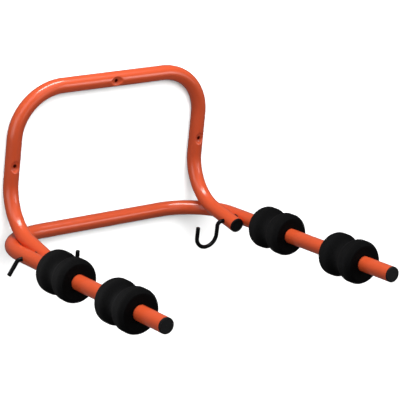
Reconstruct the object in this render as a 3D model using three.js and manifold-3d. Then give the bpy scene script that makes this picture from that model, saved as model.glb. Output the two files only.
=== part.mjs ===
// A folding wall rack for two bicycles. A bent tube hoop is screwed to the wall through three dished
// seats. A U-shaped tube, the carrier, turns on two wire hooks that pin it to the feet of the hoop.
// In use its crossbar rests on the wall and its arms point into the room, each with two foam pads.
//
// Units are millimetres. +X runs right along the wall, +Y into the wall and +Z up. The wall is the
// plane Y = 0, and the origin is the point where the top screw enters it.
import * as THREE from "three";
import { mergeVertices, toCreasedNormals } from "three/addons/utils/BufferGeometryUtils.js";
import Module from "manifold-3d";

const wasm = await Module();
wasm.setup();

const degrees = THREE.MathUtils.degToRad;

// Round steel tube, the same stock for the hoop and the carrier
const tubeDiameter = 25;
const tubeWall = 1.5;

// Hoop
const hoopWidth = 359; // between the centre lines of the legs, where they leave the top corners
const hoopCornerRadius = 83;
const legLean = degrees(0.96); // each leg leans outwards on its way down
const legStraight = 73.8;
const footBendRadius = 77;
const footBendAngle = degrees(87.3);
const footOverhang = 21; // from the pivot to the cut end of the foot

// Dished screw seats in the front of the hoop
const screwHoleDiameter = 6.5;
const seatDiameter = 9.8;
const dishMouthDiameter = 24.2;
const dishDepth = 4.1;
const sideScrewDrop = 126; // from the top screw down to the screws in the legs

// Carrier
const pivotFromWall = 131.5;
const carrierCornerRadius = 91;
const armRise = degrees(10.2); // above horizontal, with the crossbar on the wall
const armReach = 388.5; // from the pivot to the cut end of the arm

// Wire hook, which is also the pivot pin
const wireDiameter = 7;
const wireClearance = 0.4; // round the wire, in the holes of the tubes and washers
const hookBendRadius = 7.5;
const hookStandoff = 4; // straight wire between the foot and the inner bend
const bowlRadius = 20;
const bowlDrop = 23.2; // from the pivot down to the centre of the bowl
const tipDrop = 3.7; // from the pivot down to the end of the open tip
const retainerStandoff = 2.5; // straight wire between the arm and the outer bend
const retainerAngle = degrees(60);
const retainerLength = 25;

// Washer between foot and arm
const washerDiameter = 16;
const washerThickness = 0.8;
const washerGap = 0.3; // on each side of the washer
const washerChamfer = 0.25;

// Push-in end plugs
const plugLip = 2.5;
const plugChamfer = 0.8;
const plugSeatGap = 0.3; // between the lip and the cut end of the tube
const plugShankLength = 13;
const plugRibCount = 2;
const plugRibHeight = 2.2; // above the core of the shank
const plugRibThickness = 1.6;
const plugRibGap = 0.35; // between a rib and the bore
const plugTipChamfer = 2;

// Foam pads, each a sleeve with two round lobes and a waist that a frame tube lies in
const padLength = 79;
const padDiameter = 70.5;
const padFaceDiameter = 59; // of the flat cut ends
const padWaistDiameter = 53;
const padCrestPlace = 11; // from each end to the crest of its lobe
const padBoreGap = 0.3;
const rearPadPlaces = { left: 75.6, right: 59.5 }; // from the pivot to the near face
const frontPadPlaces = { left: 63, right: 63.5 }; // from the cut end of the arm to the far face

// How finely round things are cut
const tubeSides = 24;
const boreSides = 16;
const holeSides = 16;
const dishSides = 20;
const dishSteps = 4;
const wireSides = 12;
const plugSides = 20;
const washerSides = 28;
const padSides = 22;
const padEndSteps = 4;
const padWaistSteps = 5;
const tubeBendStep = degrees(9.5);
const wireBendStep = degrees(15);
const cutOverrun = 2; // how far cutting tools run past the surfaces they cut

// Worked out from the sizes above
const tubeRadius = tubeDiameter / 2;
const boreRadius = tubeRadius - tubeWall;
const wireRadius = wireDiameter / 2;
const wireHoleRadius = wireRadius + wireClearance;

const RIGHT = new THREE.Vector3(1, 0, 0);
const LEFT = new THREE.Vector3(-1, 0, 0);
const TO_WALL = new THREE.Vector3(0, 1, 0);
const TO_ROOM = new THREE.Vector3(0, -1, 0);
const UP = new THREE.Vector3(0, 0, 1);
const DOWN = new THREE.Vector3(0, 0, -1);
const SIDES = { left: -1, right: 1 };

// Materials
const orangeCoat = { color: 0xe8452a, roughness: 0.32, metalness: 0.15 };
const blackCoat = { color: 0x0d0d0e, roughness: 0.3, metalness: 0.2 };
const blackPlastic = { color: 0x17181a, roughness: 0.55, metalness: 0 };
const blackFoam = { color: 0x121213, roughness: 0.95, metalness: 0 };

// The centre line of a bent tube or wire, laid out as a bender makes it: straights and bends in turn.
// Its stations lie at the ends of each straight and evenly round each bend.
class BentPath extends THREE.Curve {
  constructor(start, heading, side, bendStep) {
    super();
    this.point = start.clone();
    this.heading = heading.clone().normalize();
    this.side = side.clone().projectOnPlane(this.heading).normalize();
    this.bendStep = bendStep;
    this.stations = [];
    this.record();
  }

  record() {
    this.stations.push({
      point: this.point.clone(),
      tangent: this.heading.clone(),
      normal: this.side.clone(),
    });
  }

  straight(length) {
    this.point.addScaledVector(this.heading, length);
    this.record();
    return this;
  }

  bend(radius, angle, toward) {
    const axis = new THREE.Vector3().crossVectors(this.heading, toward).normalize();
    const count = Math.ceil(angle / this.bendStep);
    const arm = new THREE.Vector3().crossVectors(this.heading, axis).multiplyScalar(radius);
    const centre = this.point.clone().sub(arm);
    for (let k = 0; k < count; k++) {
      arm.applyAxisAngle(axis, angle / count);
      this.heading.applyAxisAngle(axis, angle / count);
      this.side.applyAxisAngle(axis, angle / count);
      this.point.copy(centre).add(arm);
      this.record();
    }
    return this;
  }

  getPointAt(share, target = new THREE.Vector3()) {
    const index = Math.round(share * (this.stations.length - 1));
    return target.copy(this.stations[index].point);
  }

  computeFrenetFrames() {
    const tangents = this.stations.map((station) => station.tangent);
    const normals = this.stations.map((station) => station.normal);
    const binormals = this.stations.map(({ tangent, normal }) => tangent.clone().cross(normal));
    return { tangents, normals, binormals };
  }
}

// A regular polygon round the origin, as a shape.
function disc(radius, sides) {
  const corners = Array.from({ length: sides }, (_, k) => {
    const angle = (k / sides) * 2 * Math.PI;
    return new THREE.Vector2(radius * Math.cos(angle), radius * Math.sin(angle));
  });
  return new THREE.Shape(corners);
}

function sweep(path, radius, sides) {
  const steps = path.stations.length - 1;
  return new THREE.ExtrudeGeometry(disc(radius, sides), { steps, extrudePath: path });
}

// A solid of revolution about Y, from [radius, height] pairs that climb its outside.
function turned(profile, sides) {
  const points = profile.map(([radius, height]) => new THREE.Vector2(radius, height));
  return new THREE.LatheGeometry(points, sides);
}

function solidOf(geometry) {
  const bare = geometry.clone();
  bare.deleteAttribute("normal");
  bare.deleteAttribute("uv");
  const merged = mergeVertices(bare);
  const vertProperties = new Float32Array(merged.attributes.position.array);
  const triVerts = new Uint32Array(merged.index.array);
  return new wasm.Manifold(new wasm.Mesh({ numProp: 3, vertProperties, triVerts }));
}

function geometryOf(solid) {
  const { vertProperties, triVerts } = solid.getMesh();
  const geometry = new THREE.BufferGeometry();
  geometry.setAttribute("position", new THREE.BufferAttribute(vertProperties, 3));
  geometry.setIndex(new THREE.BufferAttribute(triVerts, 1));
  return toCreasedNormals(geometry, degrees(30));
}

function mesh(name, geometry, finish) {
  const made = new THREE.Mesh(geometry, new THREE.MeshStandardMaterial(finish));
  made.name = name;
  return made;
}

// A round cutter of the given length, centred on a point and lying along a direction.
function drill(radius, length, centre, direction) {
  const cutter = new THREE.CylinderGeometry(radius, radius, length, holeSides);
  cutter.applyQuaternion(new THREE.Quaternion().setFromUnitVectors(TO_WALL, direction));
  cutter.translate(centre.x, centre.y, centre.z);
  return solidOf(cutter);
}

// The drill for the wire through one tube whose centre line passes the given point.
function wireDrill(centre) {
  return drill(wireHoleRadius, tubeDiameter + 2 * cutOverrun, centre, RIGHT);
}

// The press tool that dishes the front of the tube. Its face rises from a flat seat to the mouth in
// an S, level at both ends. An allowance makes it wider and deeper, for the inside of the tube's wall.
function dishTool(centre, allowance) {
  const floorHeight = -tubeDiameter + dishDepth + allowance;
  const innerRadius = seatDiameter / 2 + allowance;
  const mouthRadius = dishMouthDiameter / 2 + allowance;
  const mouthHeight = -tubeDiameter;
  const topHeight = mouthHeight - cutOverrun;
  const profile = [[0, topHeight], [mouthRadius, topHeight]];
  for (let k = 0; k <= dishSteps; k++) {
    const share = k / dishSteps;
    const radius = mouthRadius + (innerRadius - mouthRadius) * share;
    const fall = (1 - Math.cos(Math.PI * share)) / 2;
    profile.push([radius, mouthHeight + (floorHeight - mouthHeight) * fall]);
  }
  profile.push([0, floorHeight]);
  return solidOf(turned(profile, dishSides).translate(centre.x, 0, centre.z));
}

// Hoop layout. The top bar's crest is on the wall, level with the origin.
const legDown = (side) => DOWN.clone().applyAxisAngle(TO_WALL, -side * legLean);
const footStart = tubeRadius + footBendRadius * (1 - Math.cos(footBendAngle));
const footBeforePivot = (pivotFromWall - footStart) / Math.sin(footBendAngle);
const cornerAngle = Math.PI / 2 - legLean;
const cornerDepth = hoopCornerRadius * Math.sin(cornerAngle);
const cornerCentre = hoopWidth / 2 - cornerDepth;
const topCentre = new THREE.Vector3(0, -tubeRadius, 0);

// From the middle of the top bar down the right leg to the pivot.
function halfHoop() {
  return new BentPath(topCentre, RIGHT, UP, tubeBendStep)
    .straight(cornerCentre)
    .bend(hoopCornerRadius, cornerAngle, DOWN)
    .straight(legStraight)
    .bend(footBendRadius, footBendAngle, TO_ROOM)
    .straight(footBeforePivot);
}

const rightPivot = halfHoop().point;
const footDirection = halfHoop().heading;
const pivotHeight = rightPivot.z;

// The whole hoop from its right foot to its left one, each foot longer by the given allowance.
function hoopPath(allowance) {
  const start = halfHoop().straight(footOverhang + allowance);
  const foot = footBeforePivot + footOverhang + allowance;
  const firstSide = start.heading.clone().cross(UP);
  return new BentPath(start.point, start.heading.clone().negate(), firstSide, tubeBendStep)
    .straight(foot)
    .bend(footBendRadius, footBendAngle, legDown(SIDES.right).negate())
    .straight(legStraight)
    .bend(hoopCornerRadius, cornerAngle, LEFT)
    .straight(2 * cornerCentre)
    .bend(hoopCornerRadius, cornerAngle, legDown(SIDES.left))
    .straight(legStraight)
    .bend(footBendRadius, footBendAngle, TO_ROOM)
    .straight(foot);
}

// Screws go through the middle of the top bar and through each leg.
function screwPlaces() {
  const belowCorner = sideScrewDrop - hoopCornerRadius * (1 - Math.cos(cornerAngle));
  const legX = hoopWidth / 2 + belowCorner * Math.tan(legLean);
  return [
    new THREE.Vector3(0, -tubeRadius, 0),
    new THREE.Vector3(-legX, -tubeRadius, -sideScrewDrop),
    new THREE.Vector3(legX, -tubeRadius, -sideScrewDrop),
  ];
}

function hoopTube() {
  let outside = solidOf(sweep(hoopPath(0), tubeRadius, tubeSides));
  let bore = solidOf(sweep(hoopPath(cutOverrun), boreRadius, boreSides));
  const holes = [];
  for (const place of screwPlaces()) {
    outside = outside.subtract(dishTool(place, 0));
    bore = bore.subtract(dishTool(place, tubeWall));
    holes.push(drill(screwHoleDiameter / 2, tubeDiameter + 2 * cutOverrun, place, TO_WALL));
  }
  for (const side of Object.values(SIDES)) {
    holes.push(wireDrill(new THREE.Vector3(side * rightPivot.x, rightPivot.y, rightPivot.z)));
  }
  return geometryOf(holes.reduce((tube, hole) => tube.subtract(hole), outside.subtract(bore)));
}

// Carrier layout, in a frame on the pivot axis whose -Y runs out along the arms.
const washerSpace = washerThickness + 2 * washerGap;
const armX = rightPivot.x + tubeRadius + washerSpace + tubeRadius;
const crossbarSetback = (pivotFromWall - tubeRadius) / Math.cos(armRise);

function carrierPath(allowance) {
  const arm = armReach + allowance + crossbarSetback - carrierCornerRadius;
  const start = new THREE.Vector3(armX, -armReach - allowance, 0);
  return new BentPath(start, TO_WALL, UP, tubeBendStep)
    .straight(arm)
    .bend(carrierCornerRadius, Math.PI / 2, LEFT)
    .straight(2 * (armX - carrierCornerRadius))
    .bend(carrierCornerRadius, Math.PI / 2, TO_ROOM)
    .straight(arm);
}

function carrierTube() {
  const outside = solidOf(sweep(carrierPath(0), tubeRadius, tubeSides));
  const bore = solidOf(sweep(carrierPath(cutOverrun), boreRadius, boreSides));
  let tube = outside.subtract(bore);
  for (const side of Object.values(SIDES)) {
    tube = tube.subtract(wireDrill(new THREE.Vector3(side * armX, 0, 0)));
  }
  return geometryOf(tube);
}

// One wire, from its open tip round the bowl, along the pivot axis and down into the retainer.
function hook(side) {
  const outward = side > 0 ? RIGHT : LEFT;
  const inward = side > 0 ? LEFT : RIGHT;
  const pinStart = rightPivot.x - tubeRadius - hookStandoff;
  const pinEnd = armX + tubeRadius + retainerStandoff;
  const tipX = pinStart - hookBendRadius - 2 * bowlRadius;
  const tip = new THREE.Vector3(side * tipX, 0, -tipDrop);
  const path = new BentPath(tip, DOWN, inward, wireBendStep)
    .straight(bowlDrop - tipDrop)
    .bend(bowlRadius, Math.PI / 2, outward)
    .bend(bowlRadius, Math.PI / 2, UP)
    .straight(bowlDrop - hookBendRadius)
    .bend(hookBendRadius, Math.PI / 2, outward)
    .straight(pinEnd - pinStart)
    .bend(hookBendRadius, retainerAngle, DOWN)
    .straight(retainerLength);
  return sweep(path, wireRadius, wireSides);
}

function washer() {
  const inner = wireHoleRadius;
  const outer = washerDiameter / 2;
  const high = washerThickness / 2;
  const low = -high;
  const profile = [
    [inner, low],
    [outer - washerChamfer, low],
    [outer, low + washerChamfer],
    [outer, high - washerChamfer],
    [outer - washerChamfer, high],
    [inner, high],
    [inner, low],
  ];
  return turned(profile, washerSides);
}

// A plug whose lip covers the cut end of a tube at height zero. Its ribbed shank hangs in the bore.
function plug() {
  const ribRadius = boreRadius * Math.cos(Math.PI / boreSides) - plugRibGap;
  const coreRadius = ribRadius - plugRibHeight;
  const lipTop = plugSeatGap + plugLip;
  const pitch = (plugShankLength - plugTipChamfer) / plugRibCount;
  const profile = [[0, -plugShankLength], [coreRadius - plugTipChamfer, -plugShankLength]];
  for (let k = 0; k < plugRibCount; k++) {
    const ribBase = -plugShankLength + plugTipChamfer + k * pitch;
    profile.push([coreRadius, ribBase]);
    profile.push([ribRadius, ribBase + plugRibThickness / 2]);
    profile.push([ribRadius, ribBase + plugRibThickness]);
    profile.push([coreRadius, ribBase + plugRibThickness]);
  }
  profile.push([coreRadius, plugSeatGap], [tubeRadius, plugSeatGap]);
  profile.push([tubeRadius, lipTop - plugChamfer], [tubeRadius - plugChamfer, lipTop], [0, lipTop]);
  return turned(profile, plugSides);
}

// A pad that starts at height zero and runs up its arm.
function foamPad() {
  const half = padLength / 2;
  const face = padFaceDiameter / 2;
  const crest = padDiameter / 2;
  const waist = padWaistDiameter / 2;
  const bore = tubeRadius + padBoreGap;
  const lobe = [[bore, 0]];
  for (let k = 0; k <= padEndSteps; k++) {
    const share = k / padEndSteps;
    const rise = Math.sin((Math.PI / 2) * share);
    lobe.push([face + (crest - face) * rise, padCrestPlace * share]);
  }
  for (let k = 1; k < padWaistSteps; k++) {
    const share = k / padWaistSteps;
    const height = (1 + Math.cos(Math.PI * share)) / 2;
    lobe.push([waist + (crest - waist) * height, padCrestPlace + (half - padCrestPlace) * share]);
  }
  const farLobe = lobe.map(([radius, height]) => [radius, padLength - height]).reverse();
  return turned([...lobe, [waist, half], ...farLobe, lobe[0]], padSides);
}

// Pieces that stay on the wall
const wallFrame = new THREE.Group();
wallFrame.add(mesh("wall_hoop_tube", hoopTube(), orangeCoat));
for (const [word, side] of Object.entries(SIDES)) {
  const outwards = footDirection.clone();
  const footPlug = mesh(`${word}_foot_plug`, plug(), blackPlastic);
  footPlug.position.copy(rightPivot).addScaledVector(outwards, footOverhang);
  footPlug.position.x *= side;
  outwards.x *= side;
  footPlug.quaternion.setFromUnitVectors(TO_WALL, outwards);
  wallFrame.add(footPlug);

  const pivotWasher = mesh(`${word}_pivot_washer`, washer(), blackPlastic);
  pivotWasher.position.copy(rightPivot);
  pivotWasher.position.x = side * (rightPivot.x + tubeRadius + washerSpace / 2);
  pivotWasher.quaternion.setFromUnitVectors(TO_WALL, RIGHT);
  wallFrame.add(pivotWasher);
}

// Hooks, hanging plumb from the pivot axis
const hooks = new THREE.Group();
hooks.position.set(0, -pivotFromWall, pivotHeight);
for (const [word, side] of Object.entries(SIDES)) {
  hooks.add(mesh(`${word}_wire_hook`, hook(side), blackCoat));
}

// Carrier, with everything that folds up with it
const carrier = new THREE.Group();
carrier.position.copy(hooks.position);
carrier.rotation.x = -armRise;
carrier.add(mesh("carrier_tube", carrierTube(), orangeCoat));
for (const [word, side] of Object.entries(SIDES)) {
  const armPlug = mesh(`${word}_arm_plug`, plug(), blackPlastic);
  armPlug.position.set(side * armX, -armReach, 0);
  armPlug.rotation.x = Math.PI;
  carrier.add(armPlug);
  const padStarts = {
    rear: rearPadPlaces[word],
    front: armReach - frontPadPlaces[word] - padLength,
  };
  for (const [row, distance] of Object.entries(padStarts)) {
    const pad = mesh(`${word}_${row}_foam_pad`, foamPad(), blackFoam);
    pad.position.set(side * armX, -distance, 0);
    pad.rotation.x = Math.PI;
    carrier.add(pad);
  }
}

const rack = new THREE.Group();
rack.add(wallFrame, hooks, carrier);

export default rack;
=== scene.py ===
import math

import bmesh
import bpy
from mathutils import Matrix, Vector, noise


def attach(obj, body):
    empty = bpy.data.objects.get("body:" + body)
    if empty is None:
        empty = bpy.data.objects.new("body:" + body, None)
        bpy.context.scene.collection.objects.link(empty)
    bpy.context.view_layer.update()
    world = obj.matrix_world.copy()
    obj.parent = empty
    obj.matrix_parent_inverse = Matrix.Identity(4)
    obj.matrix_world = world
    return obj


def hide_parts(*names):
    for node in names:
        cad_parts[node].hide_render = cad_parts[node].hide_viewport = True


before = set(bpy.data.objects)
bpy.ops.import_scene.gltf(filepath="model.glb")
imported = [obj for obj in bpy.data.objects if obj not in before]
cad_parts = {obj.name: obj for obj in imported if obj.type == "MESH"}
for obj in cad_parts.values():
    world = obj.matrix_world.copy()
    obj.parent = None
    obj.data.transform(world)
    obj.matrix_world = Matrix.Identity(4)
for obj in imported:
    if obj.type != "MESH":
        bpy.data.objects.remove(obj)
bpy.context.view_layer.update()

# A folding wall rack for two bicycles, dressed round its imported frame. Units are metres. The wall is
# the plane Y = 0, the room lies on its -Y side, and the origin is where the top screw enters the wall.

MM = 0.001

# Round tube
TUBE_RADIUS = 12.5 * MM
TUBE_WALL = 1.5 * MM

# Hoop
HOOP_WIDTH = 359 * MM
HOOP_CORNER_RADIUS = 83 * MM
LEG_LEAN = math.radians(0.96)
LEG_STRAIGHT = 73.8 * MM
FOOT_BEND_RADIUS = 77 * MM
FOOT_BEND_ANGLE = math.radians(87.3)
FOOT_OVERHANG = 21 * MM

# Dished screw seats
SCREW_HOLE_RADIUS = 3.25 * MM
SEAT_RADIUS = 4.9 * MM
DISH_MOUTH_RADIUS = 12.1 * MM
DISH_DEPTH = 4.1 * MM
DISH_EDGE_ROUND = 1.4 * MM
SIDE_SCREW_DROP = 126 * MM

# Carrier
PIVOT_FROM_WALL = 131.5 * MM
CARRIER_CORNER_RADIUS = 91 * MM
ARM_RISE = math.radians(10.2)
ARM_REACH = 388.5 * MM

# Wire hooks
WIRE_RADIUS = 3.5 * MM
WIRE_HOLE_RADIUS = 3.9 * MM
WIRE_TIP_ROUND = 0.9 * MM
HOOK_BEND_RADIUS = 7.5 * MM
HOOK_STANDOFF = 4 * MM
BOWL_RADIUS = 20 * MM
BOWL_DROP = 23.2 * MM
TIP_DROP = 3.7 * MM
RETAINER_STANDOFF = 2.5 * MM
RETAINER_ANGLE = math.radians(60)
RETAINER_LENGTH = 25 * MM

# Washers
WASHER_RADIUS = 8 * MM
WASHER_THICKNESS = 0.8 * MM
WASHER_GAP = 0.3 * MM
WASHER_EDGE_ROUND = 0.35 * MM

# End plugs
PLUG_LIP = 2.5 * MM
PLUG_EDGE_ROUND = 0.9 * MM
PLUG_SEAT_GAP = 0.3 * MM
PLUG_VISIBLE_GAP = 0.05 * MM
PLUG_SHANK_RADIUS = 10.2 * MM
PLUG_SHANK_LENGTH = 12 * MM
PLUG_FACE_SINK = 0.3 * MM
PLUG_RIM = 1.7 * MM
PLUG_GATE_RADIUS = 1.1 * MM
PLUG_GATE_TOP_SHARE = 0.8

# Foam pads
PAD_LENGTH = 79 * MM
PAD_RADIUS = 35.25 * MM
PAD_WAIST_RADIUS = 26.5 * MM
PAD_FACE_RADIUS = 29.5 * MM
PAD_CREST_PLACE = 11 * MM  # from each end to the crest of its lobe
PAD_CREST_WIDTH = 9 * MM
PAD_CORNER_ROUND = 1.6 * MM
PAD_BORE_GAP = 0.3 * MM
PAD_MOUTH_ROUND = 1.2 * MM
PAD_FACE_SINK = 0.8 * MM
PAD_UNEVENNESS = 0.45 * MM
PAD_SWELLS_PER_METRE = 22
PAD_DIMPLES_PER_METRE = 90
PAD_SWELL_SHARE = 0.7
PAD_TRUE_DEPTH_SHARE = 0.05  # of the foam's thickness, next to the bore, that stays true
PAD_UNEVEN_DEPTH_SHARE = 0.5  # of its thickness, beyond which it is fully uneven
PAD_SEEDS = {"left": {"rear": 1, "front": 2}, "right": {"rear": 7, "front": 8}}  # no two pads alike
REAR_PADS = {"left": 75.6 * MM, "right": 59.5 * MM}  # from the pivot to the near face
FRONT_PADS = {"left": 63 * MM, "right": 63.5 * MM}  # from the cut end of the arm to the far face

# How finely round things are made, and how holes are drilled
TUBE_SIDES = 72
WIRE_SIDES = 28
WIRE_TIP_STEPS = 4
TURNED_SIDES = 96
SMALL_ROUND_STEPS = 4
LARGE_ROUND_STEPS = 6
PAD_FACE_STEPS = 6
PAD_SHOULDER_STEPS = 12
PAD_FALL_STEPS = 26
HOLE_SIDES = 48
DRILL_LENGTH = 4 * TUBE_RADIUS  # enough to pass right through a tube
BEND_STEP = math.radians(1.8)
WIRE_BEND_STEP = math.radians(6)
DISHED_SPACING = 1.1 * MM
PLAIN_SPACING = 8 * MM
SMOOTH_ANGLE = math.radians(32)

QUARTER_TURN = math.pi / 2
RIGHT = Vector((1, 0, 0))
LEFT = Vector((-1, 0, 0))
TO_WALL = Vector((0, 1, 0))
TO_ROOM = Vector((0, -1, 0))
UP = Vector((0, 0, 1))
DOWN = Vector((0, 0, -1))
SIDES = {"left": -1, "right": 1}


class BentPath:
    """The centre line of a bent tube or wire, laid out as a bender makes it: straights and bends in turn."""

    def __init__(self, start, heading, side, bend_step=BEND_STEP):
        self.point = start.copy()
        self.heading = heading.normalized()
        self.side = (side - side.dot(self.heading) * self.heading).normalized()
        self.bend_step = bend_step
        self.stations = []
        self.record()

    def record(self):
        self.stations.append((self.point.copy(), self.heading.copy(), self.side.copy()))

    def straight(self, length, spacing=PLAIN_SPACING):
        count = max(1, math.ceil(length / spacing))
        for _ in range(count):
            self.point += self.heading * (length / count)
            self.record()
        return self

    def bend(self, radius, angle, toward):
        axis = self.heading.cross(toward).normalized()
        count = max(1, math.ceil(angle / self.bend_step))
        turn = Matrix.Rotation(angle / count, 3, axis)
        arm = self.heading.cross(axis) * radius
        centre = self.point - arm
        for _ in range(count):
            arm = turn @ arm
            self.heading = turn @ self.heading
            self.side = turn @ self.side
            self.point = centre + arm
            self.record()
        return self


# Layout of the hoop
FOOT_START = TUBE_RADIUS + FOOT_BEND_RADIUS * (1 - math.cos(FOOT_BEND_ANGLE))
FOOT_BEFORE_PIVOT = (PIVOT_FROM_WALL - FOOT_START) / math.sin(FOOT_BEND_ANGLE)
CORNER_ANGLE = QUARTER_TURN - LEG_LEAN
CORNER_CENTRE = HOOP_WIDTH / 2 - HOOP_CORNER_RADIUS * math.sin(CORNER_ANGLE)
TOP_CENTRE = TO_ROOM * TUBE_RADIUS


def leg_down(side):
    """The way that a leg runs down the wall, leaning slightly outwards."""
    return Matrix.Rotation(-side * LEG_LEAN, 3, TO_WALL) @ DOWN


def half_hoop():
    """From the middle of the top bar down the right leg to the pivot."""
    return (
        BentPath(TOP_CENTRE, RIGHT, UP)
        .straight(CORNER_CENTRE)
        .bend(HOOP_CORNER_RADIUS, CORNER_ANGLE, DOWN)
        .straight(LEG_STRAIGHT)
        .bend(FOOT_BEND_RADIUS, FOOT_BEND_ANGLE, TO_ROOM)
        .straight(FOOT_BEFORE_PIVOT)
    )


PIVOT = half_hoop().point
FOOT_DIRECTION = half_hoop().heading


def hoop_path():
    """The whole hoop, from its right foot to its left one."""
    start = half_hoop().straight(FOOT_OVERHANG)
    foot = FOOT_BEFORE_PIVOT + FOOT_OVERHANG
    return (
        BentPath(start.point, -start.heading, start.heading.cross(UP))
        .straight(foot)
        .bend(FOOT_BEND_RADIUS, FOOT_BEND_ANGLE, -leg_down(SIDES["right"]))
        .straight(LEG_STRAIGHT, DISHED_SPACING)
        .bend(HOOP_CORNER_RADIUS, CORNER_ANGLE, LEFT)
        .straight(2 * CORNER_CENTRE, DISHED_SPACING)
        .bend(HOOP_CORNER_RADIUS, CORNER_ANGLE, leg_down(SIDES["left"]))
        .straight(LEG_STRAIGHT, DISHED_SPACING)
        .bend(FOOT_BEND_RADIUS, FOOT_BEND_ANGLE, TO_ROOM)
        .straight(foot)
    )


def screw_places():
    """Where the three screws cross the hoop's centre line."""
    below_corner = SIDE_SCREW_DROP - HOOP_CORNER_RADIUS * (1 - math.cos(CORNER_ANGLE))
    leg_x = HOOP_WIDTH / 2 + below_corner * math.tan(LEG_LEAN)
    side_places = [Vector((side * leg_x, -TUBE_RADIUS, -SIDE_SCREW_DROP)) for side in SIDES.values()]
    return [TOP_CENTRE.copy(), *side_places]


# Layout of the carrier, in a frame on the pivot axis whose -Y runs out along the arms
WASHER_SPACE = WASHER_THICKNESS + 2 * WASHER_GAP
ARM_X = PIVOT.x + TUBE_RADIUS + WASHER_SPACE + TUBE_RADIUS
CROSSBAR_SETBACK = (PIVOT_FROM_WALL - TUBE_RADIUS) / math.cos(ARM_RISE)
HOOK_PLACE = Matrix.Translation((0, -PIVOT_FROM_WALL, PIVOT.z))
CARRIER_PLACE = HOOK_PLACE @ Matrix.Rotation(-ARM_RISE, 4, "X")


def carrier_path():
    arm = ARM_REACH + CROSSBAR_SETBACK - CARRIER_CORNER_RADIUS
    return (
        BentPath(Vector((ARM_X, -ARM_REACH, 0)), TO_WALL, UP)
        .straight(arm)
        .bend(CARRIER_CORNER_RADIUS, QUARTER_TURN, LEFT)
        .straight(2 * (ARM_X - CARRIER_CORNER_RADIUS))
        .bend(CARRIER_CORNER_RADIUS, QUARTER_TURN, TO_ROOM)
        .straight(arm)
    )


# Mesh making


def made_object(name, verts, faces):
    mesh = bpy.data.meshes.new(name)
    mesh.from_pydata([tuple(v) for v in verts], [], faces)
    mesh.validate()
    obj = bpy.data.objects.new(name, mesh)
    bpy.context.scene.collection.objects.link(obj)
    return obj


def smooth(obj):
    obj.data.shade_smooth()
    obj.data.set_sharp_from_angle(angle=SMOOTH_ANGLE)


def move(obj, matrix):
    obj.data.transform(matrix)
    obj.data.update()


def ring(station, radius, sides):
    """A circle of points square to the path at one of its stations."""
    point, heading, side = station
    across = heading.cross(side)
    turns = (2 * math.pi * k / sides for k in range(sides))
    return [point + side * (radius * math.cos(t)) + across * (radius * math.sin(t)) for t in turns]


def bridge(first, second, sides, inward=False):
    """Quads between two rings of vertices that start at the given indices."""
    faces = []
    for k in range(sides):
        j = (k + 1) % sides
        quad = (first + k, first + j, second + j, second + k)
        faces.append(quad[::-1] if inward else quad)
    return faces


def hollow_tube(name, path, shape):
    """A tube with open ends. shape moves each point, and is told how far inside the outside it lies."""
    verts = []
    faces = []
    count = len(path.stations)
    for inset in (0, TUBE_WALL):
        first = len(verts)
        for station in path.stations:
            verts += [shape(point, inset) for point in ring(station, TUBE_RADIUS - inset, TUBE_SIDES)]
        for k in range(count - 1):
            low = first + k * TUBE_SIDES
            faces += bridge(low, low + TUBE_SIDES, TUBE_SIDES, inward=inset > 0)
    bore = count * TUBE_SIDES
    last = (count - 1) * TUBE_SIDES
    faces += bridge(0, bore, TUBE_SIDES, inward=True)
    faces += bridge(last, bore + last, TUBE_SIDES)
    return made_object(name, verts, faces)


def round_wire(name, path):
    """A solid wire whose two ends are slightly rounded."""
    first_point, first_heading, first_side = path.stations[0]
    last_point, last_heading, last_side = path.stations[-1]
    first_tip = []
    last_tip = []
    for k in range(WIRE_TIP_STEPS):
        rise = math.sin(QUARTER_TURN * k / WIRE_TIP_STEPS)
        inset = WIRE_TIP_ROUND * rise
        radius = WIRE_RADIUS - WIRE_TIP_ROUND * (1 - rise) ** 2
        first_tip.append(((first_point + first_heading * inset, first_heading, first_side), radius))
        last_tip.append(((last_point - last_heading * inset, last_heading, last_side), radius))

    def clear_of_tips(point):
        return min((point - first_point).length, (point - last_point).length) > WIRE_TIP_ROUND

    middle = [(station, WIRE_RADIUS) for station in path.stations if clear_of_tips(station[0])]
    rings = first_tip + middle + last_tip[::-1]
    verts = []
    for station, radius in rings:
        verts += ring(station, radius, WIRE_SIDES)
    faces = []
    for k in range(len(rings) - 1):
        faces += bridge(k * WIRE_SIDES, (k + 1) * WIRE_SIDES, WIRE_SIDES)
    last = (len(rings) - 1) * WIRE_SIDES
    faces.append(tuple(range(WIRE_SIDES))[::-1])
    faces.append(tuple(range(last, last + WIRE_SIDES)))
    return made_object(name, verts, faces)


def turned(name, profile, closed):
    """A solid of revolution about +Y from (radius, height) pairs that climb its outside."""
    verts = []
    faces = []
    starts = []
    for radius, height in profile:
        starts.append(len(verts))
        if radius == 0:
            verts.append(Vector((0, height, 0)))
            continue
        for k in range(TURNED_SIDES):
            turn = 2 * math.pi * k / TURNED_SIDES
            verts.append(Vector((radius * math.cos(turn), height, -radius * math.sin(turn))))
    pairs = list(zip(range(len(profile)), range(1, len(profile))))
    if closed:
        pairs.append((len(profile) - 1, 0))
    for low, high in pairs:
        for k in range(TURNED_SIDES):
            j = (k + 1) % TURNED_SIDES
            if profile[low][0] == 0:
                faces.append((starts[low], starts[high] + j, starts[high] + k))
            elif profile[high][0] == 0:
                faces.append((starts[low] + k, starts[low] + j, starts[high]))
            else:
                faces.append((starts[low] + k, starts[low] + j, starts[high] + j, starts[high] + k))
    return made_object(name, verts, faces)


def eased(share):
    """Runs from 0 to 1 as the share does, and starts and ends level."""
    return (1 - math.cos(math.pi * share)) / 2


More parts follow.
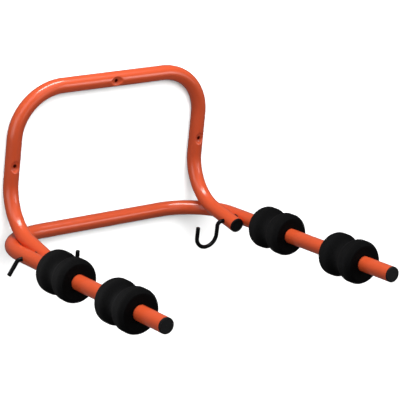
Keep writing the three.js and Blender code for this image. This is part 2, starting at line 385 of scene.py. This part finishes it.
def arc(centre, radius, start, end, steps=SMALL_ROUND_STEPS):
    """Points of an arc in (radius, height) space, from one angle to the other, in degrees."""
    points = []
    for k in range(steps + 1):
        angle = math.radians(start + (end - start) * k / steps)
        points.append((centre[0] + radius * math.cos(angle), centre[1] + radius * math.sin(angle)))
    return points


def drill(obj, places, radius, along):
    """Drills a tube through at each place, in the given direction."""
    cutter_mesh = bmesh.new()
    lie = UP.rotation_difference(along).to_matrix().to_4x4()
    for centre in places:
        bmesh.ops.create_cone(cutter_mesh, cap_ends=True, segments=HOLE_SIDES, radius1=radius,
                              radius2=radius, depth=DRILL_LENGTH, matrix=Matrix.Translation(centre) @ lie)
    cutter = made_object("drill", [], [])
    cutter_mesh.to_mesh(cutter.data)
    cutter_mesh.free()

    modifier = obj.modifiers.new("cut", "BOOLEAN")
    modifier.operation = "DIFFERENCE"
    modifier.solver = "EXACT"
    modifier.object = cutter
    drilled = bpy.data.meshes.new_from_object(obj.evaluated_get(bpy.context.evaluated_depsgraph_get()))
    obj.modifiers.clear()
    obj.data = drilled
    bpy.data.objects.remove(cutter)


# The pieces


def pressed(point, inset):
    """Pushes the front of the tube in where a screw seat is dished."""
    if point.y > -TUBE_RADIUS:
        return point
    for seat in screw_places():
        away = math.hypot(point.x - seat.x, point.z - seat.z)
        mouth = DISH_MOUTH_RADIUS + inset
        if away >= mouth:
            continue
        fall = eased(min(1, (mouth - away) / (mouth - SEAT_RADIUS - inset)))
        floor = -2 * TUBE_RADIUS + (DISH_DEPTH + inset) * fall
        # The dish meets the tube in a rounded edge
        blend = DISH_EDGE_ROUND * fall
        near = max(0, 1 - abs(point.y - floor) / blend) if blend > 0 else 0
        point.y = max(point.y, floor) + near * near * blend / 4
    return point


def unshaped(point, inset):
    return point


def hoop():
    obj = hollow_tube("wall_hoop", hoop_path(), pressed)
    drill(obj, screw_places(), SCREW_HOLE_RADIUS, TO_WALL)
    pins = [Vector((side * PIVOT.x, PIVOT.y, PIVOT.z)) for side in SIDES.values()]
    drill(obj, pins, WIRE_HOLE_RADIUS, RIGHT)
    return obj


def carrier():
    obj = hollow_tube("folding_carrier", carrier_path(), unshaped)
    drill(obj, [RIGHT * (side * ARM_X) for side in SIDES.values()], WIRE_HOLE_RADIUS, RIGHT)
    move(obj, CARRIER_PLACE)
    return obj


def hook(word, side):
    """One wire: the open tip, the bowl, the pivot pin through foot and arm, and the tail that retains it."""
    outward = RIGHT * side
    pin_start = PIVOT.x - TUBE_RADIUS - HOOK_STANDOFF
    pin_end = ARM_X + TUBE_RADIUS + RETAINER_STANDOFF
    tip_x = pin_start - HOOK_BEND_RADIUS - 2 * BOWL_RADIUS
    path = (
        BentPath(Vector((side * tip_x, 0, -TIP_DROP)), DOWN, -outward, WIRE_BEND_STEP)
        .straight(BOWL_DROP - TIP_DROP)
        .bend(BOWL_RADIUS, QUARTER_TURN, outward)
        .bend(BOWL_RADIUS, QUARTER_TURN, UP)
        .straight(BOWL_DROP - HOOK_BEND_RADIUS)
        .bend(HOOK_BEND_RADIUS, QUARTER_TURN, outward)
        .straight(pin_end - pin_start)
        .bend(HOOK_BEND_RADIUS, RETAINER_ANGLE, DOWN)
        .straight(RETAINER_LENGTH)
    )
    obj = round_wire(f"{word}_hook_wire", path)
    move(obj, HOOK_PLACE)
    return obj


def washer(word, side):
    half = WASHER_THICKNESS / 2
    rim = WASHER_RADIUS - WASHER_EDGE_ROUND
    profile = [(WIRE_HOLE_RADIUS, -half)]
    profile += arc((rim, -half + WASHER_EDGE_ROUND), WASHER_EDGE_ROUND, -90, 0)
    profile += arc((rim, half - WASHER_EDGE_ROUND), WASHER_EDGE_ROUND, 0, 90)
    profile.append((WIRE_HOLE_RADIUS, half))
    obj = turned(f"{word}_washer", profile, closed=True)
    middle = Vector((side * (PIVOT.x + TUBE_RADIUS + WASHER_SPACE / 2), PIVOT.y, PIVOT.z))
    move(obj, Matrix.Translation(middle) @ TO_WALL.rotation_difference(RIGHT).to_matrix().to_4x4())
    return obj


def plug(name):
    """An end plug standing on a tube end at height zero."""
    top = PLUG_SEAT_GAP + PLUG_LIP
    rim = TUBE_RADIUS - PLUG_EDGE_ROUND
    face = rim - PLUG_RIM
    sunk = top - PLUG_FACE_SINK
    profile = [(0, -PLUG_SHANK_LENGTH), (PLUG_SHANK_RADIUS, -PLUG_SHANK_LENGTH),
               (PLUG_SHANK_RADIUS, PLUG_VISIBLE_GAP), (TUBE_RADIUS, PLUG_VISIBLE_GAP)]
    profile += arc((rim, top - PLUG_EDGE_ROUND), PLUG_EDGE_ROUND, 0, 90, LARGE_ROUND_STEPS)
    profile += [(face + PLUG_FACE_SINK, top), (face, sunk), (PLUG_GATE_RADIUS, sunk),
                (PLUG_GATE_RADIUS * PLUG_GATE_TOP_SHARE, top), (0, top)]
    return turned(name, profile, closed=False)


def uneven(obj, seed):
    """Presses the foam in by a fraction of a millimetre here and there, as moulded foam is."""
    offset = Vector((seed, 0, 0))
    bore = TUBE_RADIUS + PAD_BORE_GAP
    for vert in obj.data.vertices:
        away = Vector((vert.co.x, 0, vert.co.z))
        radius = away.length
        depth = (radius - bore) / (PAD_RADIUS - TUBE_RADIUS)
        if depth <= PAD_TRUE_DEPTH_SHARE:
            continue
        swell = (noise.noise(vert.co * PAD_SWELLS_PER_METRE + offset) + 1) / 2
        dimple = (noise.noise(vert.co * PAD_DIMPLES_PER_METRE + offset) + 1) / 2
        pressing = PAD_SWELL_SHARE * swell + (1 - PAD_SWELL_SHARE) * dimple
        away *= 1 - PAD_UNEVENNESS * min(1, depth / PAD_UNEVEN_DEPTH_SHARE) * pressing / radius
        vert.co.x = away.x
        vert.co.z = away.z


def foam_pad(name, seed):
    """A foam sleeve with two round lobes and a waist, cut flat at its ends, standing on height zero."""
    bore = TUBE_RADIUS + PAD_BORE_GAP
    mouth = bore + PAD_MOUTH_ROUND
    half = PAD_LENGTH / 2

    def shoulder_radius(height):
        rise = math.sin(QUARTER_TURN * height / PAD_CREST_PLACE)
        return PAD_FACE_RADIUS + (PAD_RADIUS - PAD_FACE_RADIUS) * rise

    slope = math.atan(QUARTER_TURN * (PAD_RADIUS - PAD_FACE_RADIUS) / PAD_CREST_PLACE)
    corner_top = PAD_CORNER_ROUND * (1 - math.sin(slope))
    corner_radius = shoulder_radius(corner_top) - PAD_CORNER_ROUND * math.cos(slope)

    # From the bore over the end face, the shoulder and the crest to the waist
    lobe = arc((mouth, PAD_FACE_SINK + PAD_MOUTH_ROUND), PAD_MOUTH_ROUND, 180, 270)
    for k in range(1, PAD_FACE_STEPS):
        share = k / PAD_FACE_STEPS
        lobe.append((mouth + (corner_radius - mouth) * share, PAD_FACE_SINK * (1 - eased(share))))
    lobe += arc((corner_radius, PAD_CORNER_ROUND), PAD_CORNER_ROUND, -90, -math.degrees(slope),
                LARGE_ROUND_STEPS)
    for k in range(1, PAD_SHOULDER_STEPS + 1):
        height = corner_top + (PAD_CREST_PLACE - corner_top) * k / PAD_SHOULDER_STEPS
        lobe.append((shoulder_radius(height), height))
    fall_start = PAD_CREST_PLACE + PAD_CREST_WIDTH
    for k in range(PAD_FALL_STEPS):
        share = k / PAD_FALL_STEPS
        radius = PAD_RADIUS - (PAD_RADIUS - PAD_WAIST_RADIUS) * eased(share)
        lobe.append((radius, fall_start + (half - fall_start) * share))
    far_lobe = [(radius, PAD_LENGTH - height) for radius, height in reversed(lobe)]
    obj = turned(name, lobe + [(PAD_WAIST_RADIUS, half)] + far_lobe, closed=True)
    uneven(obj, seed)
    return obj


# Materials


def new_material(name):
    """A material, its node tree, its shader and the coordinates that its textures follow."""
    material = bpy.data.materials.new(name)
    material.use_nodes = True
    tree = material.node_tree
    shader = tree.nodes["Principled BSDF"]
    coords = tree.nodes.new("ShaderNodeTexCoord")
    return material, tree, shader, coords.outputs["Object"]


def noise_map(tree, coords, size, detail=2.0, roughness=0.5):
    """A noise texture whose features are about the given size."""
    node = tree.nodes.new("ShaderNodeTexNoise")
    node.inputs["Scale"].default_value = 1 / size
    node.inputs["Detail"].default_value = detail
    node.inputs["Roughness"].default_value = roughness
    tree.links.new(coords, node.inputs["Vector"])
    return node.outputs["Fac"]


def remap(tree, value, low, high, start=0.3, end=0.7):
    """Maps a value that runs from start to end onto low to high. A noise mostly runs from 0.3 to 0.7."""
    node = tree.nodes.new("ShaderNodeMapRange")
    node.inputs["From Min"].default_value = start
    node.inputs["From Max"].default_value = end
    node.inputs["To Min"].default_value = low
    node.inputs["To Max"].default_value = high
    tree.links.new(value, node.inputs["Value"])
    return node.outputs["Result"]


def mottled(tree, noise_value, first, second):
    """A colour that drifts between two shades with a noise."""
    node = tree.nodes.new("ShaderNodeMix")
    node.data_type = "RGBA"
    node.inputs["A"].default_value = (*first, 1)
    node.inputs["B"].default_value = (*second, 1)
    tree.links.new(remap(tree, noise_value, low=0, high=1), node.inputs["Factor"])
    return node.outputs["Result"]


def bump(tree, height, distance, strength, under=None):
    """A surface roughened by a height, over another bump where one is given."""
    node = tree.nodes.new("ShaderNodeBump")
    node.inputs["Strength"].default_value = strength
    node.inputs["Distance"].default_value = distance
    tree.links.new(height, node.inputs["Height"])
    if under is not None:
        tree.links.new(under, node.inputs["Normal"])
    return node.outputs["Normal"]


def powder_coat(name, colour, shade, roughness, specular, coat):
    """Baked powder paint: a slow drift in colour, a faint orange-peel skin and a glossy top."""
    material, tree, shader, coords = new_material(name)
    drift = noise_map(tree, coords, size=60 * MM, detail=3)
    tree.links.new(mottled(tree, drift, colour, shade), shader.inputs["Base Color"])
    cloud = noise_map(tree, coords, size=9 * MM, detail=4)
    spread = 0.02
    gloss = remap(tree, cloud, low=roughness - spread, high=roughness + spread)
    tree.links.new(gloss, shader.inputs["Roughness"])
    peel = noise_map(tree, coords, size=2.2 * MM, detail=1)
    skin = bump(tree, peel, distance=0.05 * MM, strength=0.35)
    grain = noise_map(tree, coords, size=0.5 * MM, detail=2)
    normal = bump(tree, grain, distance=0.01 * MM, strength=0.3, under=skin)
    tree.links.new(normal, shader.inputs["Normal"])
    shader.inputs["Specular IOR Level"].default_value = specular
    shader.inputs["Coat Weight"].default_value = coat
    shader.inputs["Coat Roughness"].default_value = 0.12
    return material


def foam_rubber():
    """Closed-cell foam: a matte skin with fine open pores, slightly mottled."""
    material, tree, shader, coords = new_material("foam_rubber")
    mottle = noise_map(tree, coords, size=14 * MM, detail=5, roughness=0.6)
    colour = mottled(tree, mottle, (0.0011, 0.0011, 0.0013), (0.0020, 0.0021, 0.0024))
    tree.links.new(colour, shader.inputs["Base Color"])
    pores = tree.nodes.new("ShaderNodeTexVoronoi")
    pores.inputs["Scale"].default_value = 1 / (1.1 * MM)
    tree.links.new(coords, pores.inputs["Vector"])
    lumps = noise_map(tree, coords, size=3.5 * MM, detail=4)
    coarse = bump(tree, lumps, distance=0.25 * MM, strength=0.5)
    normal = bump(tree, pores.outputs["Distance"], distance=0.18 * MM, strength=0.6, under=coarse)
    tree.links.new(normal, shader.inputs["Normal"])
    shader.inputs["Roughness"].default_value = 0.85
    shader.inputs["Specular IOR Level"].default_value = 0.08
    return material


def moulded_plastic():
    """Injection-moulded black plastic with a fine spark-eroded grain."""
    material, tree, shader, coords = new_material("moulded_plastic")
    cloud = noise_map(tree, coords, size=5 * MM, detail=3)
    colour = mottled(tree, cloud, (0.0032, 0.0036, 0.0042), (0.0058, 0.0064, 0.0074))
    tree.links.new(colour, shader.inputs["Base Color"])
    sheen = noise_map(tree, coords, size=2 * MM, detail=3)
    tree.links.new(remap(tree, sheen, low=0.34, high=0.46), shader.inputs["Roughness"])
    grain = noise_map(tree, coords, size=0.35 * MM, detail=2)
    tree.links.new(bump(tree, grain, distance=0.03 * MM, strength=0.4), shader.inputs["Normal"])
    shader.inputs["Specular IOR Level"].default_value = 0.25
    return material


# Putting it together

ORANGE = powder_coat("orange_powder_coat", colour=(0.84, 0.112, 0.034), shade=(0.81, 0.107, 0.032),
                     roughness=0.24, specular=0.5, coat=0.35)
BLACK = powder_coat("black_powder_coat", colour=(0.0018, 0.0018, 0.0020), shade=(0.0028, 0.0028, 0.0030),
                    roughness=0.22, specular=0.15, coat=0.05)
FOAM = foam_rubber()
PLASTIC = moulded_plastic()

# Groups that a light may be kept to, or take its shadows from
tubes = bpy.data.collections.new("tubes")
foam_pads = bpy.data.collections.new("foam_pads")
backdrop = bpy.data.collections.new("backdrop")


def dress(obj, material, body, node):
    """Gives a piece its material and body, in place of the frame's node."""
    obj.data.materials.clear()
    obj.data.materials.append(material)
    smooth(obj)
    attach(obj, body)
    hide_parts(node)


def add_plug(name, node, body, matrix):
    obj = plug(name)
    move(obj, matrix)
    dress(obj, PLASTIC, body, node)


wall_hoop = hoop()
dress(wall_hoop, ORANGE, "wall_frame", "wall_hoop_tube")
tubes.objects.link(wall_hoop)
folding_carrier = carrier()
dress(folding_carrier, ORANGE, "carrier", "carrier_tube")
tubes.objects.link(folding_carrier)
for word, side in SIDES.items():
    dress(hook(word, side), BLACK, f"{word}_hook", f"{word}_wire_hook")
    dress(washer(word, side), PLASTIC, "wall_frame", f"{word}_pivot_washer")

    foot_out = Vector((FOOT_DIRECTION.x * side, FOOT_DIRECTION.y, FOOT_DIRECTION.z))
    foot_end = Vector((PIVOT.x * side, PIVOT.y, PIVOT.z)) + foot_out * FOOT_OVERHANG
    foot_turn = TO_WALL.rotation_difference(foot_out).to_matrix().to_4x4()
    add_plug(f"{word}_foot_end_plug", f"{word}_foot_plug", "wall_frame",
             Matrix.Translation(foot_end) @ foot_turn)

    turn_out = Matrix.Rotation(math.pi, 4, "X")
    arm_end = CARRIER_PLACE @ Matrix.Translation((side * ARM_X, -ARM_REACH, 0)) @ turn_out
    add_plug(f"{word}_arm_end_plug", f"{word}_arm_plug", "carrier", arm_end)

    starts = {"rear": REAR_PADS[word], "front": ARM_REACH - FRONT_PADS[word] - PAD_LENGTH}
    for row, start in starts.items():
        pad = foam_pad(f"{word}_{row}_foam_sleeve", PAD_SEEDS[word][row])
        move(pad, CARRIER_PLACE @ Matrix.Translation((side * ARM_X, -start, 0)) @ turn_out)
        dress(pad, FOAM, f"{word}_{row}_pad", f"{word}_{row}_foam_pad")
        foam_pads.objects.link(pad)


# Wall, floor, light and camera

WALL_REACH = 3.0  # to each side of the rack and above it
FLOOR_REACH = 17.0  # each way
FLOOR_DROP = 1.05
WALL_STANDOFF = 0.4 * MM


def studio_surface(name, corners, albedo, glow):
    """A plain surface seen from its front only, so that views from behind it stay clear.

    It glows, which whitens it, but it neither lights the rack nor shows in its gloss.
    """
    obj = made_object(name, corners, [(0, 1, 2, 3)])
    obj.visible_diffuse = False
    obj.visible_glossy = False
    material, tree, shader, _ = new_material(name)
    shader.inputs["Base Color"].default_value = (albedo, albedo, albedo, 1)
    shader.inputs["Roughness"].default_value = 0.9
    shader.inputs["Specular IOR Level"].default_value = 0
    shader.inputs["Emission Color"].default_value = (1, 1, 1, 1)
    shader.inputs["Emission Strength"].default_value = glow
    geometry = tree.nodes.new("ShaderNodeNewGeometry")
    clear = tree.nodes.new("ShaderNodeBsdfTransparent")
    mixed = tree.nodes.new("ShaderNodeMixShader")
    tree.links.new(geometry.outputs["Backfacing"], mixed.inputs["Fac"])
    tree.links.new(shader.outputs["BSDF"], mixed.inputs[1])
    tree.links.new(clear.outputs["BSDF"], mixed.inputs[2])
    tree.links.new(mixed.outputs["Shader"], tree.nodes["Material Output"].inputs["Surface"])
    # The glow lights nothing, so it isn't sampled as a light
    material.cycles.emission_sampling = "NONE"
    obj.data.materials.append(material)
    backdrop.objects.link(obj)


wall_corners = [(-WALL_REACH, WALL_STANDOFF, -FLOOR_DROP), (WALL_REACH, WALL_STANDOFF, -FLOOR_DROP),
                (WALL_REACH, WALL_STANDOFF, WALL_REACH), (-WALL_REACH, WALL_STANDOFF, WALL_REACH)]
floor_corners = [(-FLOOR_REACH, -FLOOR_REACH, -FLOOR_DROP), (FLOOR_REACH, -FLOOR_REACH, -FLOOR_DROP),
                 (FLOOR_REACH, FLOOR_REACH, -FLOOR_DROP), (-FLOOR_REACH, FLOOR_REACH, -FLOOR_DROP)]
studio_surface("studio_wall", wall_corners, albedo=0.5, glow=0.05)
studio_surface("studio_floor", floor_corners, albedo=0.4, glow=0.8)

LIT_CENTRE = Vector((0, -0.2, -0.15))


def direction(azimuth, elevation):
    """Out from the rack. Azimuth 0 is straight out from the wall, and a quarter turn is to the right."""
    flat = math.cos(elevation)
    return Vector((math.sin(azimuth) * flat, -math.cos(azimuth) * flat, math.sin(elevation)))


def softbox(name, azimuth, elevation, distance, size, radiance, lights=None, shaders=None):
    """A rectangular light that faces the rack, placed by angles in degrees.

    It lights everything or one group only, and everything or one group only casts shadows in it.
    """
    light = bpy.data.lights.new(name, "AREA")
    light.shape = "RECTANGLE"
    light.size, light.size_y = size
    light.energy = radiance * math.pi * size[0] * size[1]
    obj = bpy.data.objects.new(name, light)
    away = direction(math.radians(azimuth), math.radians(elevation))
    obj.location = LIT_CENTRE + away * distance
    obj.rotation_mode = "QUATERNION"
    obj.rotation_quaternion = away.to_track_quat("Z", "Y")
    obj.visible_camera = False
    if lights is not None:
        obj.light_linking.receiver_collection = lights
    if shaders is not None:
        obj.light_linking.blocker_collection = shaders
    bpy.context.scene.collection.objects.link(obj)


softbox("overhead_strip", azimuth=0, elevation=89.9, distance=2.1, size=(1.7, 0.55), radiance=15)
softbox("low_overhead_strip", azimuth=0, elevation=88.5, distance=0.77, size=(0.9, 0.3), radiance=0.7)
softbox("front_overhead_softbox", azimuth=0, elevation=48, distance=2.2, size=(1.4, 1.2), radiance=0.6)
softbox("right_front_softbox", azimuth=45, elevation=12, distance=2.2, size=(1.2, 1.1), radiance=1.15)
softbox("small_right_front_softbox", azimuth=36, elevation=17, distance=2.2, size=(0.8, 0.8), radiance=2.2)
softbox("front_softbox", azimuth=5, elevation=8, distance=2.2, size=(1.2, 1.2), radiance=0.65)
softbox("left_softbox", azimuth=-82, elevation=5, distance=2.2, size=(1.4, 1.4), radiance=1.3)
softbox("left_front_softbox", azimuth=-60, elevation=5, distance=2.2, size=(1.0, 1.2), radiance=0.55)
softbox("near_left_softbox", azimuth=-81, elevation=42, distance=0.89, size=(0.5, 0.5), radiance=1.3)
softbox("foam_softbox", azimuth=-125, elevation=12, distance=1.8, size=(1.2, 1.4), radiance=8.5,
        lights=foam_pads, shaders=foam_pads)
softbox("backdrop_softbox", azimuth=-28, elevation=42, distance=4.5, size=(5.2, 4.0), radiance=17,
        lights=backdrop, shaders=tubes)


def room_light():
    """A dim studio round the object, brighter above than below."""
    world = bpy.data.worlds.new("studio")
    world.use_nodes = True
    tree = world.node_tree
    coords = tree.nodes.new("ShaderNodeTexCoord")
    parts = tree.nodes.new("ShaderNodeSeparateXYZ")
    tree.links.new(coords.outputs["Generated"], parts.inputs["Vector"])
    strength = remap(tree, parts.outputs["Z"], low=0.13, high=0.15, start=-0.3, end=0.3)
    sky = tree.nodes["Background"]
    sky.inputs["Color"].default_value = (1, 1, 1, 1)
    tree.links.new(strength, sky.inputs["Strength"])
    bpy.context.scene.world = world


room_light()
bpy.context.scene.view_settings.view_transform = "Standard"

IMAGE_WIDTH = 400
SENSOR = 36.0  # in millimetres, as the lens is
FOCAL_PIXELS = 1700
CAMERA_AZIMUTH = math.radians(-37.06)
CAMERA_ELEVATION = math.radians(23.46)
CAMERA_ROLL = math.radians(6.54)
CAMERA_TARGET = Vector((147.7, -88.3, -210.24)) * MM
CAMERA_DISTANCE = 2902.5 * MM
CAMERA_REACH = 50.0


def photo_camera():
    data = bpy.data.cameras.new("photo_camera")
    data.sensor_width = SENSOR
    data.lens = FOCAL_PIXELS * SENSOR / IMAGE_WIDTH
    data.clip_end = CAMERA_REACH
    obj = bpy.data.objects.new("photo_camera", data)
    bpy.context.scene.collection.objects.link(obj)
    back = direction(CAMERA_AZIMUTH, CAMERA_ELEVATION)
    level = Vector((math.cos(CAMERA_AZIMUTH), math.sin(CAMERA_AZIMUTH), 0))
    above = back.cross(level)
    right = level * math.cos(CAMERA_ROLL) + above * math.sin(CAMERA_ROLL)
    up = above * math.cos(CAMERA_ROLL) - level * math.sin(CAMERA_ROLL)
    turn = Matrix((right, up, back)).transposed().to_4x4()
    obj.matrix_world = Matrix.Translation(CAMERA_TARGET + back * CAMERA_DISTANCE) @ turn
    bpy.context.scene.camera = obj


photo_camera()
